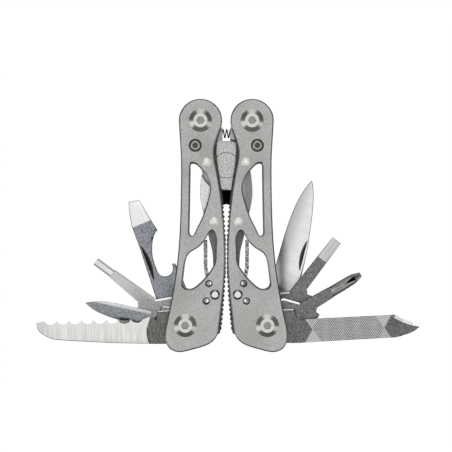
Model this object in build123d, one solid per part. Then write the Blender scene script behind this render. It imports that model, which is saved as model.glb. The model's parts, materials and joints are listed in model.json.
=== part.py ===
"""A folding plier multi-tool, lying on its back with its handles shut and its eight tools fanned out.

X runs across the two handles, Y along them with the jaw bolts at +Y, and Z up through the stack.
Each handle is drawn once for the right-hand side, from the midline, and mirrored for the left.
Each tool is drawn pointing along +X from its pivot, with +Y on the side that folds into the handle,
and is then turned to its rest angle.
"""

import math
import os

from build123d import *

# Footprint: the midline's place, chosen so that the origin is the middle of the whole footprint
MID_X = -1.13
MID_Y = -0.1

# Stack, from the ground up
HEAD_PROUD = 1.3
PLATE_T = 2.5
LINER_T = 1.0
CHANNEL = 10.0
LAYER_GAP = 0.28
BACK_PLATE_Z = HEAD_PROUD
BACK_LINER_Z = BACK_PLATE_Z + PLATE_T
CHANNEL_Z = BACK_LINER_Z + LINER_T
FRONT_LINER_Z = CHANNEL_Z + CHANNEL
FRONT_PLATE_Z = FRONT_LINER_Z + LINER_T
FRONT_FACE_Z = FRONT_PLATE_Z + PLATE_T
MID_Z = CHANNEL_Z + CHANNEL / 2

# Handle plan, from the midline
JAW_BOLT = (10.35, 42.2)
TOOL_BOLT = (16.45, -40.0)
TOP_R = 8.65
SPACER = (12.45, 32.2)
RIVETS = [(7.8, 25.4), (4.9, 1.6)]
SPRING_PIN = (4.56, -27.6)
PEEP_HOLES = [(6.98, -23.2), (8.06, -30.2)]
PEEP_R = 1.47
LINER_PEEP_R = 1.0
RIM_BEVEL = 0.5
LOOP_STEPS = 4

# Bolts and pins
AXLE_R = 2.5
RUNNING = 0.05
FIT = 0.02
BOLT_R = 1.5
BOLT_BASE_R = 4.65
BOLT_FACE_R = 2.8
HEX_R = 1.6
HEX_DEPTH = 1.5
SPACER_R = 2.0
SMALL_SCREW_R = 1.1
SMALL_HEAD_R = 2.35
SMALL_BEVEL = 0.45
SMALL_WELL_R = 2.6
SMALL_WELL_DEPTH = 1.0
RIVET_HEAD_R = 1.88
RIVET_HEAD_H = 0.85
RIVET_SHANK_R = 0.9
PIN_R = 1.2
PIN_HEAD_R = 2.1
PIN_FACE_R = 1.25
PIN_HEAD_H = 0.8
SPRING_W = 1.4
RIB_PITCH = 0.8
RIB_RIM = 0.25
RIB_DEPTH = 0.5
WASHER_R = 5.0
WASHER_T = 0.2

# Toothed inner edge of the liners
LINER_INSET = 0.45
LINER_WINDOW_GAP = 0.35
TOOTH_PITCH = 1.88
TOOTH_ROOT_R = 0.62
FINE_ROOT_R = 0.4
STRIPS_MEET = (-20.5, -3.5)
TOOTH_TOP_Y = 8.4

# Plier head
HEAD_T = 9.4
LAP_GAP = 0.1
PIVOT = (0.0, 24.3)
BOSS_R = 9.8
BOSS_CLEAR = 0.8
OPEN_HALF_ANGLE = 3.5
FACE_GAP = 0.1
CUTTER_TOP = 10.2
CUTTER_END = 15.6
CUTTER_HALF = 2.6
WEB_R = 16.6
GRIP_END = 27.0
NOSE_END = 46.4
TANG_EYE_R = 6.3
PLIER_PIN_R = 2.6
PLIER_HEAD_R = 5.1
PLIER_HEAD_T = 1.2
COIL_R = 1.65
COIL_WIRE_R = 0.24
COIL_Y = 37.2
COIL_PITCH = 1.5
COIL_HALF = 4.7

HEX_KEY_R = 1.65
HEX_KEY_Y = -1.25
PHILLIPS_R = 2.15
PHILLIPS_Y = -2.0
FLUTE_SIDE = 2.2
FLUTE_TILT = 9.0
GROOVE_STEEP = 62.0
WIDE_BEVEL = (0.7, 0.45)
FINE_BEVEL = (0.35, 0.3)
SHANK_START = 15.5

# Tools: rest angle above the outward direction, and thickness, front layer first
FOLDED_ANGLE = 92.0
OPEN_ANGLE = -88.0
TANG_R = 7.5
TANG_SHOULDER = [(0, TANG_R), (7.0, 6.0), (11.0, 5.7), (12.0, 2.0)]
AWL_SHOULDER = TANG_SHOULDER[:-1] + [(11.7, 3.0)]
DRIVER_SHOULDER = [(0, TANG_R), (11.2, 5.8), (15.9, 0.8)]
FILE_SHOULDER = [(6.0, 6.0), (11.1, 5.9), (12.1, 2.4), (12.9, 1.6)]
LEFT_TOOLS = [("serrated_blade", 0.0, 1.8), ("awl", 12.5, 1.8),
              ("hex_driver", 36.8, 3.0), ("can_opener", 67.0, 2.0)]
RIGHT_TOOLS = [("file", 3.0, 1.8), ("phillips_driver", 31.0, 3.4),
               ("flat_driver", 52.5, 1.7), ("knife", 72.5, 1.7)]


def slab(face, z, thickness):
    """A flat face made into a plate from height z."""
    return Pos(0, 0, z) * extrude(face, thickness)


def disc(centre, radius, z, thickness):
    """An upright cylinder from height z."""
    return Pos(centre[0], centre[1], z) * Cylinder(
        radius, thickness, align=(Align.CENTER, Align.CENTER, Align.MIN))


def loop(points):
    """A smooth closed face through the points."""
    return make_face(Spline(*points, periodic=True))


def polygon(points):
    """A straight-sided closed face."""
    return make_face(Polyline(*points, close=True))


# ---------------------------------------------------------------- handle outlines

def plate_points():
    """Outline of an aluminium plate: a round top, a waist, and a broad rounded foot."""
    bx, by = JAW_BOLT
    turns = [math.radians(step * 30) for step in range(8)]
    top = [(bx + TOP_R * math.cos(turn), by + TOP_R * math.sin(turn)) for turn in turns]
    inner = [(4.75, 31.8), (3.75, 21.5), (2.35, 13.5), (1.25, 3.0), (0.62, -7.0), (0.65, -17.5),
             (1.7, -30.1), (2.85, -40.0)]
    foot = [(3.7, -44.0), (6.0, -46.8), (10.2, -48.7), (15.2, -50.1), (19.6, -50.6), (23.0, -48.9),
            (24.55, -45.0)]
    outer = [(23.8, -38.3), (21.7, -28.0), (19.4, -12.0), (18.55, 0.5), (18.15, 17.0),
             (18.3, 30.0)]
    return top + inner + foot + outer


def upper_window():
    """The long window beside the jaws, wide at its top and tapering to a tip."""
    return [(13.7, 25.2), (12.2, 24.8), (10.3, 23.0), (7.6, 19.6), (6.5, 15.3), (7.1, 11.4),
            (8.3, 7.2), (10.2, 2.2), (12.1, -1.6), (12.9, -3.3), (13.8, -4.15), (14.7, -3.5),
            (14.95, -2.0), (14.85, 2.0), (14.75, 7.0), (14.65, 12.0), (14.58, 17.0),
            (14.52, 21.0), (14.5, 23.6), (14.3, 24.9)]


def lower_window():
    """The leaf-shaped window beside the tool spring."""
    return [(5.5, -2.0), (4.5, -3.3), (4.25, -8.9), (4.55, -14.5), (6.9, -18.9), (11.2, -23.6),
            (15.3, -25.6), (17.3, -24.4), (17.5, -21.5), (16.8, -15.7), (15.3, -11.5),
            (11.3, -8.7), (8.2, -5.0), (6.6, -2.5)]


def inner_strip():
    """The band of liner that stands proud of the plate along its inner edge."""
    tip = Spline((2.0, 39.0), (3.9, 31.0), (3.0, 21.5), (1.75, 13.5), (1.05, 8.0), (0.55, 2.0),
                 (0.2, -4.5), (0.16, -12.0), (0.2, -19.5), (0.5, -25.0), (0.85, -30.1),
                 (2.05, -42.6))
    back = Polyline((2.05, -42.6), (4.5, -44.6), (7.0, -43.0), (4.6, -30.0), (3.2, -20.0),
                    (3.2, -2.0), (5.2, 14.0), (6.8, 24.0), (7.0, 32.0), (5.5, 38.0), (2.0, 39.0))
    return tip, make_face(tip + back)


def toothed(face, tip):
    """Round notches cut at even steps along the strip's edge."""
    steps = int(tip.length / (TOOTH_PITCH / 8))
    travelled = 0.0
    notches = []
    for step in range(steps + 1):
        point = tip @ (step / steps)
        if point.Y > TOOTH_TOP_Y:
            continue
        if travelled <= 0:
            meeting = STRIPS_MEET[0] < point.Y < STRIPS_MEET[1]
            radius = FINE_ROOT_R if meeting else TOOTH_ROOT_R
            notches.append(Pos(point.X - 0.12, point.Y) * Circle(radius))
            travelled = TOOTH_PITCH
        travelled -= tip.length / steps
    for notch in notches:
        face -= notch
    return face


def shifted_loop(points, amount):
    """The smooth loop through the points, drawn in by an amount square to its own edge."""
    edge = Spline(*points, periodic=True)
    count = LOOP_STEPS * len(points)
    moved = []
    for step in range(count):
        along = edge % (step / count)
        moved.append(edge @ (step / count) + Vector(-along.Y, along.X) * amount)
    return loop(moved)


def bevelled(points, amount):
    """An outline made into a plate's thickness, whose outer rim is drawn in by an amount."""
    rim = PLATE_T - RIM_BEVEL
    low, high = shifted_loop(points, 0), shifted_loop(points, amount)
    return slab(low, 0, rim) + loft([Pos(0, 0, rim) * low, Pos(0, 0, PLATE_T) * high])


def plate(front):
    """One aluminium plate with its windows, bolt holes, counterbore and peep holes."""
    body = bevelled(plate_points(), RIM_BEVEL)
    for window in (upper_window(), lower_window()):
        body -= bevelled(window, -RIM_BEVEL)
    for centre in (JAW_BOLT, TOOL_BOLT):
        body -= disc(centre, BOLT_R + FIT, 0, PLATE_T)
    body -= disc(SPACER, SMALL_SCREW_R + FIT, 0, PLATE_T)
    body -= disc(SPACER, SMALL_WELL_R, PLATE_T - SMALL_WELL_DEPTH, SMALL_WELL_DEPTH)
    for centre in RIVETS:
        body -= disc(centre, RIVET_SHANK_R + FIT, 0, PLATE_T)
    for centre in PEEP_HOLES:
        body -= disc(centre, PEEP_R, 0, PLATE_T)
    body -= disc(SPRING_PIN, PIN_R + FIT, 0, PLATE_T)
    return Pos(0, 0, FRONT_PLATE_Z) * body if front else flipped(body, FRONT_PLATE_Z)


def flipped(shape, z):
    """A front piece, drawn from z = 0 and meant for height z, turned over to the back."""
    return mirror(Pos(0, 0, z - MID_Z) * shape, Plane.XY).moved(Location((0, 0, MID_Z)))


def liner():
    """The toothed steel liner, from z = 0."""
    tip, strip = inner_strip()
    core = shifted_loop(plate_points(), LINER_INSET) + toothed(strip, tip)
    for window in (upper_window(), lower_window()):
        core -= shifted_loop(window, -LINER_WINDOW_GAP)
    for centre in PEEP_HOLES:
        core -= Pos(*centre) * Circle(LINER_PEEP_R)
    body = slab(core, 0, LINER_T)
    for centre in (JAW_BOLT, TOOL_BOLT):
        body -= disc(centre, AXLE_R + FIT, 0, LINER_T)
    body -= disc(SPACER, SMALL_SCREW_R + FIT, 0, LINER_T)
    for centre in RIVETS:
        body -= disc(centre, RIVET_SHANK_R + FIT, 0, LINER_T)
    return body - disc(SPRING_PIN, PIN_R + FIT, 0, LINER_T)


# ---------------------------------------------------------------- handle hardware

def hex_socket(top, radius=HEX_R, depth=HEX_DEPTH):
    """A hexagonal pocket that opens upwards at height top."""
    return Pos(0, 0, top - depth) * extrude(RegularPolygon(radius, 6), depth)


def bolt():
    """A cone-headed socket bolt seated on a plate's outer face, from the plate's own z = 0."""
    head = Pos(0, 0, PLATE_T + HEAD_PROUD / 2) * Cone(BOLT_BASE_R, BOLT_FACE_R, HEAD_PROUD)
    shank = disc((0, 0), BOLT_R, -LINER_T - 3.5, PLATE_T + LINER_T + 3.5)
    return head + shank - hex_socket(PLATE_T + HEAD_PROUD)


def bolt_pair(centre):
    """The front and back bolts that close on one axle."""
    front = Pos(centre[0], centre[1], 0) * bolt()
    return Compound([Pos(0, 0, FRONT_PLATE_Z) * front, flipped(front, FRONT_PLATE_Z)])


def axle(centre):
    """The hollow sleeve that a jaw tang or the tools turn on."""
    height = CHANNEL + 2 * LINER_T
    sleeve = disc(centre, AXLE_R, BACK_LINER_Z, height)
    return sleeve - disc(centre, BOLT_R + FIT, BACK_LINER_Z, height)


def spacer_post():
    """The post that holds the liners apart beside the jaw tang."""
    post = disc(SPACER, SPACER_R, CHANNEL_Z, CHANNEL)
    return post - disc(SPACER, SMALL_SCREW_R - 0.1 + FIT, CHANNEL_Z, CHANNEL)


def small_screws():
    """Two socket screws sunk in the plates, one into each end of the spacer post."""
    seat = PLATE_T - SMALL_WELL_DEPTH
    head_t = SMALL_WELL_DEPTH - 0.15
    head = disc((0, 0), SMALL_HEAD_R, seat, head_t - SMALL_BEVEL)
    head += Pos(0, 0, seat + head_t - SMALL_BEVEL / 2) * Cone(
        SMALL_HEAD_R, SMALL_HEAD_R - 1.4 * SMALL_BEVEL, SMALL_BEVEL)
    shank = disc((0, 0), SMALL_SCREW_R - 0.1, -LINER_T - 3.0, seat + LINER_T + 3.0)
    screw = head + shank - hex_socket(PLATE_T - 0.15, 1.15, 0.8)
    front = Pos(SPACER[0], SPACER[1], 0) * screw
    return Compound([Pos(0, 0, FRONT_PLATE_Z) * front, flipped(front, FRONT_PLATE_Z)])


def plate_rivets():
    """Domed rivets that hold each plate to its liner, flush on the channel side."""
    ball_r = (RIVET_HEAD_R ** 2 + RIVET_HEAD_H ** 2) / (2 * RIVET_HEAD_H)
    ball = Pos(0, 0, PLATE_T + RIVET_HEAD_H - ball_r) * Sphere(ball_r)
    dome = ball & disc((0, 0), RIVET_HEAD_R, PLATE_T, RIVET_HEAD_H)
    rivet = dome + disc((0, 0), RIVET_SHANK_R, -LINER_T, PLATE_T + LINER_T)
    solids = []
    for centre in RIVETS:
        front = Pos(centre[0], centre[1], 0) * rivet
        solids += [Pos(0, 0, FRONT_PLATE_Z) * front, flipped(front, FRONT_PLATE_Z)]
    return Compound(solids)


def spring_pin():
    """The bevel-headed pin through both plates that anchors the tool spring."""
    low = BACK_PLATE_Z
    pin = disc(SPRING_PIN, PIN_R, low, FRONT_FACE_Z - low)
    cone = Pos(SPRING_PIN[0], SPRING_PIN[1], PIN_HEAD_H / 2) * Cone(
        PIN_HEAD_R, PIN_FACE_R, PIN_HEAD_H)
    return pin + Pos(0, 0, FRONT_FACE_Z) * cone + flipped(cone, FRONT_FACE_Z)


def tool_spring(tools):
    """Four spring-steel leaves, one beside each tool, with an eye round the spring pin."""
    top, bend = (8.4, -5.7), (8.4, -16.8)
    path = FilletPolyline(top, bend, (7.3, -22.0), (7.4, -25.6), (9.0, -31.4), radius=2.0)
    blade = trace(path, SPRING_W)
    eye = Pos(*SPRING_PIN) * Circle(2.4)
    lug = polygon([(SPRING_PIN[0], -25.3), (7.4, -25.3), (7.9, -29.4), (SPRING_PIN[0], -29.9)])
    face = blade + eye + lug - Pos(*SPRING_PIN) * Circle(PIN_R + FIT)
    leaves = [slab(face, z, thickness) for z, thickness in layers(tools)]
    steps = int((top[1] - bend[1]) / RIB_PITCH)
    for leaf, (z, thickness) in ((0, layers(tools)[0]), (-1, layers(tools)[-1])):
        outer_z = z + thickness if leaf == 0 else z
        for step in range(steps):
            rib_y = top[1] - (step + 1) * RIB_PITCH
            leaves[leaf] -= Pos(top[0], rib_y, outer_z) * Box(
                SPRING_W - 2 * RIB_RIM, RIB_PITCH / 2, 2 * RIB_DEPTH)
    return Compound(leaves)


def layers(tools):
    """Each tool's lowest height and thickness, front layer first."""
    top = CHANNEL_Z + CHANNEL
    placed = []
    for tool in tools:
        thickness = tool[2]
        top -= LAYER_GAP + thickness
        placed.append((top, thickness))
    return placed


def tool_washers(tools):
    """Thin washers above, between and below the tools on their axle."""
    ring = (WASHER_R, AXLE_R + RUNNING)
    slack = (LAYER_GAP - WASHER_T) / 2
    heights = [z + thickness + slack for z, thickness in layers(tools)] + [CHANNEL_Z + slack]
    rings = [disc(TOOL_BOLT, ring[0], z, WASHER_T) - disc(TOOL_BOLT, ring[1], z, WASHER_T)
             for z in heights]
    return Compound(rings)


# ---------------------------------------------------------------- plier head

def nose_face():
    """Right nose with the jaws shut, measured from the pivot: cutter, pipe grip and fine teeth."""
    outer = Spline((9.5, -2.5), (9.9, -8.6), (9.7, -13.0), (7.9, -20.1), (5.2, -29.5), (3.4, -35.5),
                   (2.8, -40.5), (2.0, -NOSE_END + 0.6))
    tip = Polyline((2.0, -NOSE_END + 0.6), (1.4, -NOSE_END), (FACE_GAP, -NOSE_END),
                   (FACE_GAP, -2.5), (9.5, -2.5))
    face = make_face(outer + tip)
    middle = (CUTTER_END + GRIP_END) / 2
    face -= Pos(0, -middle) * Ellipse(2.2, (GRIP_END - CUTTER_END) / 2)
    return face - tooth_row(GRIP_END + 0.6, NOSE_END - 0.8, 1.0, 0.28)


def tooth_row(start, end, pitch, depth):
    """Small notches along the gripping face, from one distance below the pivot to another."""
    notches = Sketch()
    for index in range(int((end - start) / pitch)):
        notches += Pos(FACE_GAP, -(start + (index + 0.5) * pitch)) * Rectangle(
            2 * depth, 2 * depth, rotation=45)
    return notches


def tang_face():
    """Left tang with the jaws shut, in handle places: an eye on the jaw bolt and a stout neck."""
    bx, by = -JAW_BOLT[0], JAW_BOLT[1]
    neck = polygon([(bx - 3.4, by - 4.0), (-9.5, 33.3), (-9.2, 27.0), (0.0, 25.0), (-1.56, 33.0),
                    (-1.56, 39.2), (bx + 3.0, by + 5.0)])
    eye = Pos(bx, by) * Circle(TANG_EYE_R)
    return neck + eye - Pos(-SPACER[0], SPACER[1]) * Circle(SPACER_R + 0.5)


def jaw_blank():
    """Left tang, front half-lap boss and right nose, with the bores that every jaw has."""
    low = MID_Z - HEAD_T / 2
    px, py = PIVOT
    nose = Pos(px, py) * Rot(0, 0, OPEN_HALF_ANGLE) * nose_face()
    body = slab(tang_face(), low, HEAD_T) + slab(nose, low, HEAD_T)
    body -= disc(PIVOT, BOSS_R + BOSS_CLEAR, low, HEAD_T)
    body += disc(PIVOT, BOSS_R + BOSS_CLEAR + 0.2, MID_Z + LAP_GAP / 2, (HEAD_T - LAP_GAP) / 2) \
        & slab(tang_face() + nose + Pos(*PIVOT) * Circle(BOSS_R), low, HEAD_T)
    body -= cutter_groove()
    body -= disc((-JAW_BOLT[0], JAW_BOLT[1]), AXLE_R + RUNNING, low, HEAD_T)
    return body - coil_pocket()


def lower_half_lap(radius):
    """The rear half of a disc about the pivot, below the pivot only."""
    low = MID_Z - HEAD_T / 2
    px, py = PIVOT
    below = Pos(px, py - radius, MID_Z) * Box(2 * radius, 2 * radius, 2 * HEAD_T)
    return disc(PIVOT, radius, low, (HEAD_T + LAP_GAP) / 2) & below


def front_jaw():
    """The jaw whose boss is in front, relieved behind for the other jaw's web."""
    return jaw_blank() - lower_half_lap(WEB_R + BOSS_CLEAR) - plier_pin_bore(FIT)


def rear_jaw():
    """The same jaw turned over, with a web across the throat behind the cutters."""
    turned = jaw_blank().moved(Location((0, 0, -MID_Z))).rotate(Axis.Y, 180)
    px, py = PIVOT
    web = Circle(WEB_R) & Pos(-2.6, -WEB_R / 2 - 4.5) * Rectangle(11.0, WEB_R - 4.0)
    web -= Pos(0, -CUTTER_END - 3.0) * Ellipse(2.6, 3.0)
    web = slab(Pos(px, py) * web, MID_Z - HEAD_T / 2, (HEAD_T - LAP_GAP) / 2)
    return turned.moved(Location((0, 0, MID_Z))) + web - plier_pin_bore(RUNNING)


def plier_pin_bore(clearance):
    """The bore and the two counterbores for the rivet that joins the jaws."""
    low = MID_Z - HEAD_T / 2
    bore = disc(PIVOT, PLIER_PIN_R + clearance, low, HEAD_T)
    for z in (low, MID_Z + HEAD_T / 2 - PLIER_HEAD_T - clearance):
        bore += disc(PIVOT, PLIER_HEAD_R + clearance, z, PLIER_HEAD_T + clearance)
    return bore


def plier_rivet():
    """The rivet that the jaws turn on, with both heads flush in their counterbores."""
    low = MID_Z - HEAD_T / 2
    rivet = disc(PIVOT, PLIER_PIN_R, low, HEAD_T)
    for z in (low, MID_Z + HEAD_T / 2 - PLIER_HEAD_T):
        rivet += disc(PIVOT, PLIER_HEAD_R, z, PLIER_HEAD_T)
    return rivet


def cutter_groove():
    """A V between the noses, sharp at mid-height, that leaves the wire cutters' edges."""
    half_t = HEAD_T / 2
    section = polygon([(0, 0), (CUTTER_HALF, half_t), (-CUTTER_HALF, half_t)])
    start = Plane((PIVOT[0], PIVOT[1] - CUTTER_TOP, MID_Z), x_dir=(1, 0, 0), z_dir=(0, -1, 0))
    return extrude(start * section, WEB_R - CUTTER_TOP)


def coil_pocket():
    """The blind hole in the left tang's inner edge where the jaw spring sits."""
    radius = COIL_R + COIL_WIRE_R + 0.15
    return Pos(-COIL_HALF / 2 - 0.2, COIL_Y, MID_Z) * Rot(0, 90, 0) * Cylinder(radius, COIL_HALF)


def jaw_spring():
    """The coil between the tangs that pushes the jaws open."""
    path = Helix(pitch=COIL_PITCH, height=2 * COIL_HALF, radius=COIL_R)
    wire = sweep(Plane(origin=path @ 0, z_dir=path % 0) * Circle(COIL_WIRE_R), path)
    return Pos(-COIL_HALF, COIL_Y, MID_Z) * Rot(0, 90, 0) * wire


# ---------------------------------------------------------------- tools

def tang():
    """The round root that every tool turns on, with its inner shoulder."""
    return Circle(TANG_R) + polygon([(0, -TANG_R), (8.0, -TANG_R), (12.0, -5.0)]
                                    + TANG_SHOULDER[::-1])


def driver_tang():
    """The drivers' longer root, with a thumbnail kick on its outer edge."""
    return Circle(TANG_R) + polygon([(0, -TANG_R), (18.9, -8.1), (20.3, -7.3), (19.6, -5.7),
                                     (20.8, -4.4), (21.2, -1.0)] + DRIVER_SHOULDER[::-1])


def bar(x0, x1, low0, high0, low1, high1):
    """A four-sided stretch of shank from x0 to x1."""
    return polygon([(x0, low0), (x1, low1), (x1, high1), (x0, high0)])


def grind(x0, x1, spine_y, edge_y, thickness, edge_t):
    """The metal that a flat grind takes off both faces, from the spine line to the edge line."""
    half, edge = thickness / 2, edge_t / 2
    over = edge_y + (edge_y - spine_y) * 0.5
    slope = (half - edge) / (edge_y - spine_y)
    section = polygon([(spine_y, half), (over, half - slope * (over - spine_y)), (over, 2 * half),
                       (spine_y, 2 * half)])
    start = Plane((x0, 0, 0), x_dir=(0, 1, 0), z_dir=(1, 0, 0))
    top = extrude(start * section, x1 - x0)
    return top + mirror(top, Plane.XY)


def nail_groove(x0, y0, x1, y1, depth, thickness):
    """What a tilted milling disc cuts from the front face: steep along the line, then sloping up."""
    length = math.hypot(x1 - x0, y1 - y0)
    turn = math.degrees(math.atan2(y1 - y0, x1 - x0))
    steep = math.radians(GROOVE_STEEP)
    reach = depth / math.sin(steep)
    radius = (length ** 2 / 4 + reach ** 2) / (2 * reach)
    hub = Vector(0, -math.cos(steep), math.sin(steep)) * (radius - reach)
    cutter = Plane(origin=hub, x_dir=(1, 0, 0), z_dir=(0, math.sin(steep), math.cos(steep)))
    disc_cut = cutter * Cylinder(radius, 2.5, align=(Align.CENTER, Align.CENTER, Align.MIN))
    return Pos((x0 + x1) / 2, (y0 + y1) / 2, thickness / 2) * Rot(0, 0, turn) * disc_cut


def edge_bevel(points, width, depth, thickness):
    """The corners taken off both faces along an upper edge, whose points run from root to tip."""
    half = thickness / 2
    section = polygon([(width, half), (-width, half - 2 * depth), (-width, half + depth),
                       (width, half + depth)])
    section += mirror(section, Plane.XZ)
    cuts = Part()
    for start, end in zip(points, points[1:]):
        run = Vector(end[0] - start[0], end[1] - start[1])
        place = Plane(start, x_dir=(run.Y, -run.X, 0), z_dir=(run.X, run.Y, 0))
        cuts += extrude(place * section, run.length)
    return cuts


def centred(face, thickness):
    """A tool blank, centred on its own mid-plane."""
    return slab(face, -thickness / 2, thickness)


def serrated_blade(thickness):
    """The long saw-edged blade: cusps along the upper edge, a straight spine, a rounded tip."""
    tip, shoulder = (60.2, 0.9), (46.5, -6.3)
    nose = Spline(tip, (58.9, -2.4), (55.4, -4.8), shoulder, tangents=[(-0.3, -1), (-1, -0.08)])
    back = Polyline(shoulder, (31.0, -7.1), (14.0, -TANG_R), (0, -TANG_R), (0, 3.0), (13.0, 3.3),
                    (15.2, 3.1), (17.7, 2.2), (21.8, 2.3), (56.8, 1.4), tip)
    face = make_face(nose + back)
    pitch = (56.6 - 21.8) / 7
    for index in range(8):
        centre = 22.05 + (index - 0.5) * pitch
        dip = 2.3 - 0.9 * (centre - 19) / 38
        face -= Pos(centre, dip + 0.55) * Ellipse(pitch * 0.47, 1.95)
    unground = Pos(3.0, -2.5) * Circle(12.4)
    root = centred((face + tang()) & unground, thickness)
    blade = centred(face - unground, thickness) - grind(10, 64, -8.4, 1.8, thickness, 0.3)
    return root - edge_bevel(TANG_SHOULDER, *FINE_BEVEL, thickness) + blade


def awl(thickness):
    """A short spear point whose upper edge is bevelled."""
    upper = Spline((13.6, 2.3), (20.8, 2.5), (29.5, 2.5), (35.5, 1.9), (41.5, 0.0),
                   tangents=[(1, 0.05), (1, -0.4)])
    lower = Spline((41.5, 0.0), (38.0, -1.8), (33.0, -3.1), (27.2, -3.8), (20.0, -3.4),
                   (11.0, -4.2), tangents=[(-1, -0.45), (-1, -0.1)])
    face = make_face(upper + lower + Polyline((11.0, -4.2), (11.0, 3.0), (13.6, 2.3)))
    body = centred(face + tang(), thickness)
    body -= grind(14.5, 43, 1.1, 2.5, thickness, 0.5)
    body -= grind(16, 43, -2.2, -3.9, thickness, 0.4)
    return body - edge_bevel(AWL_SHOULDER, *WIDE_BEVEL, thickness)


def hex_driver(thickness):
    """A tapering shank that ends in a hexagonal key."""
    shank = bar(SHANK_START, 36.0, -4.5, 1.2, -3.0, 0.6)
    key = Plane((35.0, HEX_KEY_Y, 0), x_dir=(0, 1, 0), z_dir=(1, 0, 0)) * RegularPolygon(
        HEX_KEY_R, 6)
    body = centred(driver_tang() + shank, thickness)
    body -= edge_bevel(DRIVER_SHOULDER + [(36.0, 0.6)], *WIDE_BEVEL, thickness)
    return body + extrude(key, 9.4)


def can_opener(thickness):
    """A flat screwdriver tip, a can-opener hook and a bottle-opener notch on one bar."""
    outline = Polyline((9.0, -TANG_R), (14.8, -6.9), (34.9, -5.1), (45.0, -4.6), (48.5, -3.9),
                       (54.7, -2.0), (53.9, 2.3), (44.9, 3.5), (39.7, 4.4))
    hook = Spline((39.7, 4.4), (37.4, 1.6), (34.6, -0.1), (30.5, -1.6), (25.5, -2.1),
                  (22.6, -1.8), (21.1, 0.2), (21.2, 2.4), (22.6, 3.9), (24.9, 4.4))
    root = Polyline((24.9, 4.4), (24.4, 5.7), (20.5, 6.0), (7.0, 6.0), (9.0, -TANG_R))
    body = centred(make_face(outline + hook + root) + tang(), thickness)
    body -= tip_wedge(44.5, 55.0, thickness, 0.7)
    body -= grind(24.0, 40.0, 0.2, 5.6, thickness, 0.5) & Pos(37.5, 3.0) * Box(6, 6, 9)
    return body - nail_groove(21.5, -5.0, 36.5, -4.4, 0.6, thickness)


def tip_wedge(x0, x1, thickness, end_t):
    """What is ground off both faces of a screwdriver tip."""
    half = thickness / 2
    section = polygon([(x0, half), (x1, end_t / 2), (x1, 2 * half), (x0, 2 * half)])
    wide = 2 * TANG_R
    start = Plane((0, wide, 0), x_dir=(1, 0, 0), z_dir=(0, -1, 0))
    top = extrude(start * section, 2 * wide)
    return top + mirror(top, Plane.XY)


def flat_driver(thickness):
    """A plain screwdriver blade."""
    shank = bar(SHANK_START, 44.2, -4.2, 0.9, -3.7, 0.4)
    body = centred(driver_tang() + shank, thickness) - tip_wedge(34.5, 44.4, thickness, 0.6)
    return body - edge_bevel(DRIVER_SHOULDER, *FINE_BEVEL, thickness)


def phillips_driver(thickness):
    """A shank that turns into a fluted cross point."""
    shank = bar(SHANK_START, 29.0, -4.5, 0.7, -4.2, 0.2)
    rod = Pos(33.0, PHILLIPS_Y, 0) * Rot(0, 90, 0) * Cylinder(PHILLIPS_R, 13.0)
    point = Pos(41.2, PHILLIPS_Y, 0) * Rot(0, 90, 0) * Cone(PHILLIPS_R, 1.0, 3.4)
    rod = (rod + point) & Pos(33.0, PHILLIPS_Y, 0) * Box(24, 9, thickness)
    body = centred(driver_tang() + shank, thickness) + rod
    for quarter in range(4):
        flute = Pos(42.9, 0, 0) * Rot(0, FLUTE_TILT, 0) * Pos(-7.0, 0, FLUTE_SIDE * 0.9) * Rot(
            45, 0, 0) * Box(14.0, FLUTE_SIDE, FLUTE_SIDE)
        body -= Pos(0, PHILLIPS_Y, 0) * Rot(90 * quarter, 0, 0) * flute
    return body - edge_bevel(DRIVER_SHOULDER, *WIDE_BEVEL, thickness)


def knife(thickness):
    """The plain spear-point blade, flat ground, with a nail groove along the spine."""
    spine = Spline((61.1, 0.2), (56.8, -1.9), (50.4, -3.7), (41.6, -5.3), (32.7, -6.7),
                   (23.6, -7.4), (10.0, -7.2), tangents=[(-1, -0.75), (-1, 0.08)])
    edge = Spline((13.0, 3.4), (26.7, 3.9), (37.7, 4.1), (46.0, 3.8), (53.0, 2.9), (61.1, 0.2),
                  tangents=[(1, 0.06), (1, -0.5)])
    face = make_face(spine + Polyline((10.0, -7.2), (10.0, 3.4), (13.0, 3.4)) + edge)
    body = centred(face + tang(), thickness)
    body -= grind(15.0, 63.0, -6.4, 4.0, thickness, 0.25)
    return body - nail_groove(24.6, -6.2, 37.7, -5.5, 0.62, thickness)


def file(thickness):
    """A broad flat file with a bevelled pointed end."""
    outline = Polyline((6.0, -TANG_R), (12.0, -7.8), (50.6, -7.6))
    belly = Spline((50.6, -7.6), (54.5, -6.9), (58.9, -5.4), (62.3, -2.7),
                   tangents=[(1, 0.02), (1, 1)])
    point = [(51.6, 1.5), (54.7, -0.3), (58.2, -1.75), (62.3, -2.7)]
    top = Polyline(*point[::-1], *FILE_SHOULDER[::-1], (6.0, -TANG_R))
    body = centred(make_face(outline + belly + top) + tang(), thickness)
    body -= edge_bevel(point, 1.3, 0.6, thickness)
    return body - edge_bevel(FILE_SHOULDER, *FINE_BEVEL, thickness)


def tool(name, rest_angle, z, thickness):
    """A tool at its rest angle on the right-hand tool bolt."""
    shapes = {"serrated_blade": serrated_blade, "awl": awl, "hex_driver": hex_driver,
              "can_opener": can_opener, "file": file, "phillips_driver": phillips_driver,
              "flat_driver": flat_driver, "knife": knife}
    body = shapes[name](thickness) - disc((0, 0), AXLE_R + RUNNING, -5, 10)
    middle = z + thickness / 2
    return Pos(TOOL_BOLT[0], TOOL_BOLT[1], middle) * Rot(0, 0, rest_angle) * body


# ---------------------------------------------------------------- assembly

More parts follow.
